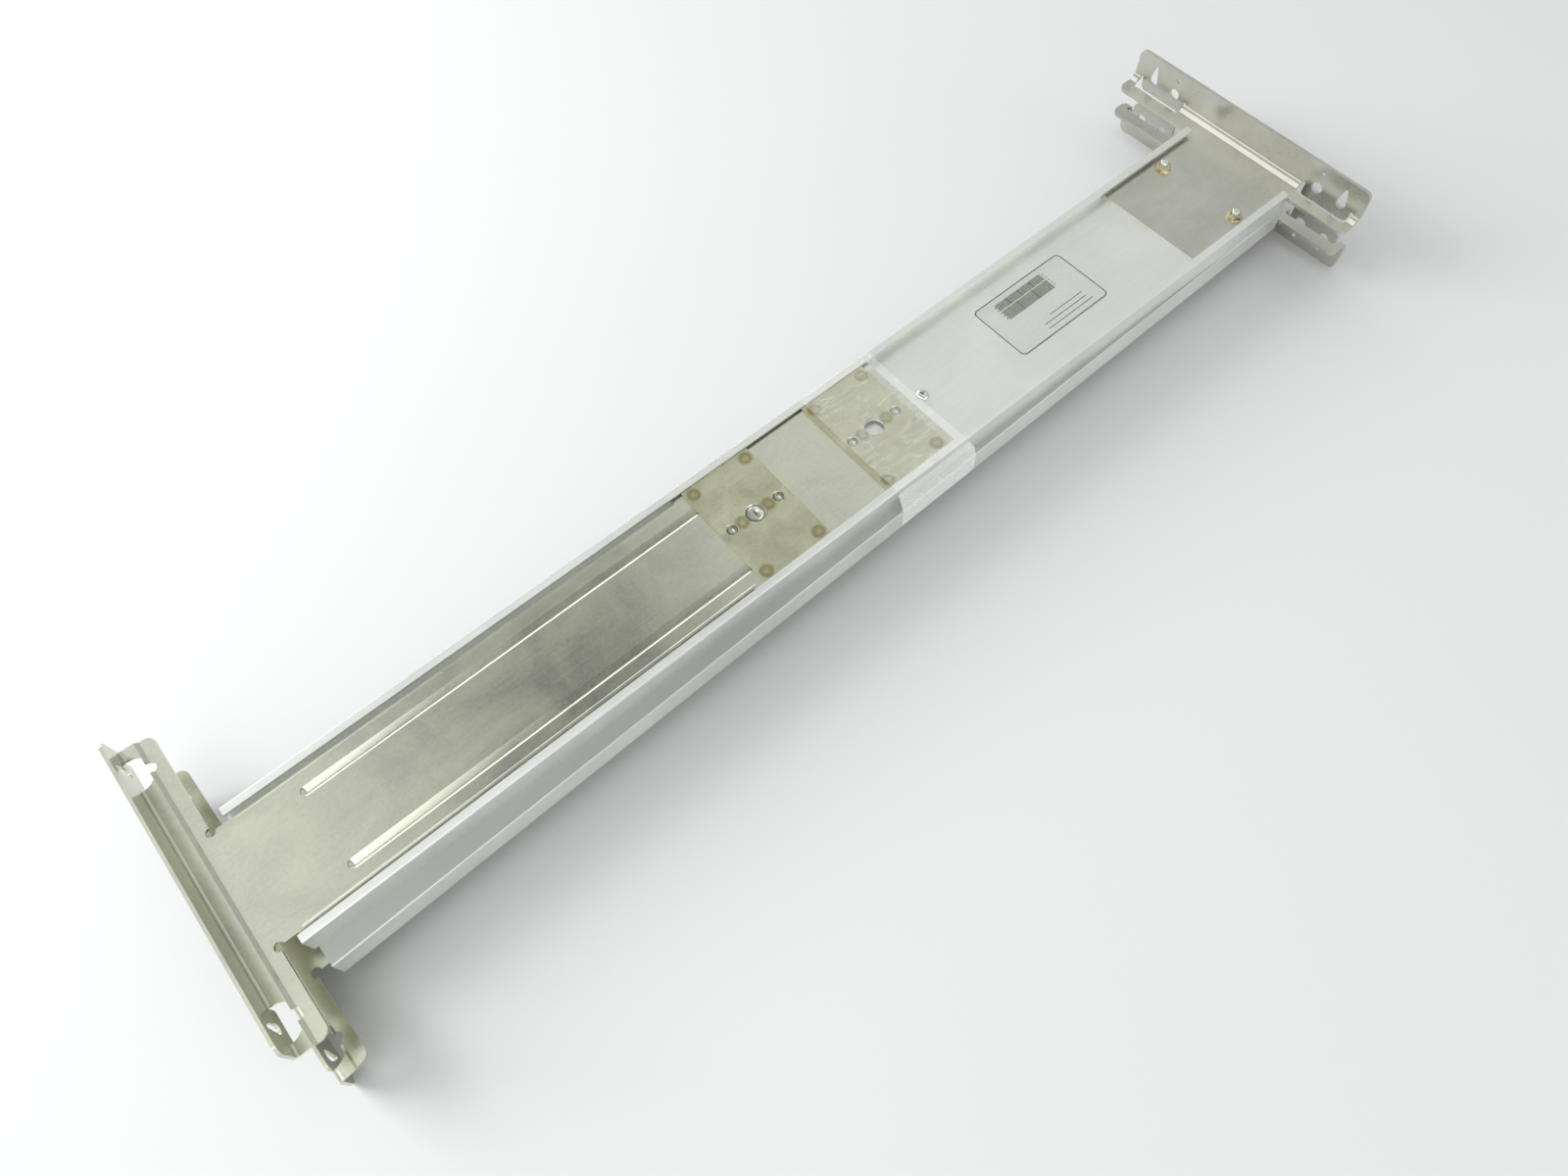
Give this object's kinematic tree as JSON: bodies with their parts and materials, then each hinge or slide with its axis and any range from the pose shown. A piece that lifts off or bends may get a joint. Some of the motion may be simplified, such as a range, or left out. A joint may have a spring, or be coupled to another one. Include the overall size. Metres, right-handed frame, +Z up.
{
  "type": "sliding server rail pair",
  "caption": "Pair of telescoping rack rails: flat aluminium channels with steel sliders and T-shaped end brackets, packed back to back in a film band.",
  "frame": {"origin": "centre of the pair's bounding box, on the surface it lies on", "axes": "+X along the rails towards the fixed rear brackets, +Y across, +Z up"},
  "size_m": [0.6566, 0.1708, 0.056],
  "materials": {
    "aluminium_extrusion": "satin anodised extrusion",
    "slider_steel": "satin galvanised sheet",
    "doubler_steel": "dull galvanised sheet with weld marks",
    "bracket_steel": "dull galvanised sheet",
    "bright_steel": "bright zinc",
    "yellow_zinc": "yellow passivated zinc",
    "label_film": "silver polyester sticker",
    "clear_film": "clear stretch film"
  },
  "bodies": {
    "rails": {"upper_channel": "aluminium_extrusion", "upper_rear_bracket": "bracket_steel", "upper_rear_studs": "bright_steel", "upper_rear_nuts": "yellow_zinc", "upper_stop_screw": "bright_steel", "upper_label": "label_film", "lower_channel": "aluminium_extrusion", "lower_rear_bracket": "bracket_steel", "lower_rear_studs": "bright_steel", "lower_rear_nuts": "yellow_zinc", "lower_stop_screw": "bright_steel", "lower_label": "label_film", "packing_film_band": "clear_film"},
    "upper_slider": {"upper_slider_plate": "slider_steel", "upper_front_doubler": "doubler_steel", "upper_rear_doubler": "doubler_steel", "upper_front_eyelets": "bright_steel", "upper_rear_eyelets": "bright_steel"},
    "lower_slider": {"lower_slider_plate": "slider_steel", "lower_front_doubler": "doubler_steel", "lower_rear_doubler": "doubler_steel", "lower_front_eyelets": "bright_steel", "lower_rear_eyelets": "bright_steel"}
  },
  "joints": [
    {"name": "upper_slide", "type": "slide", "parent": "rails", "child": "upper_slider", "axis": [1, 0, 0], "range_m": [-0.2, 0.004]},
    {"name": "lower_slide", "type": "slide", "parent": "rails", "child": "lower_slider", "axis": [0.9998, 0.0175, 0], "range_m": [-0.2, 0.004]}
  ]
}
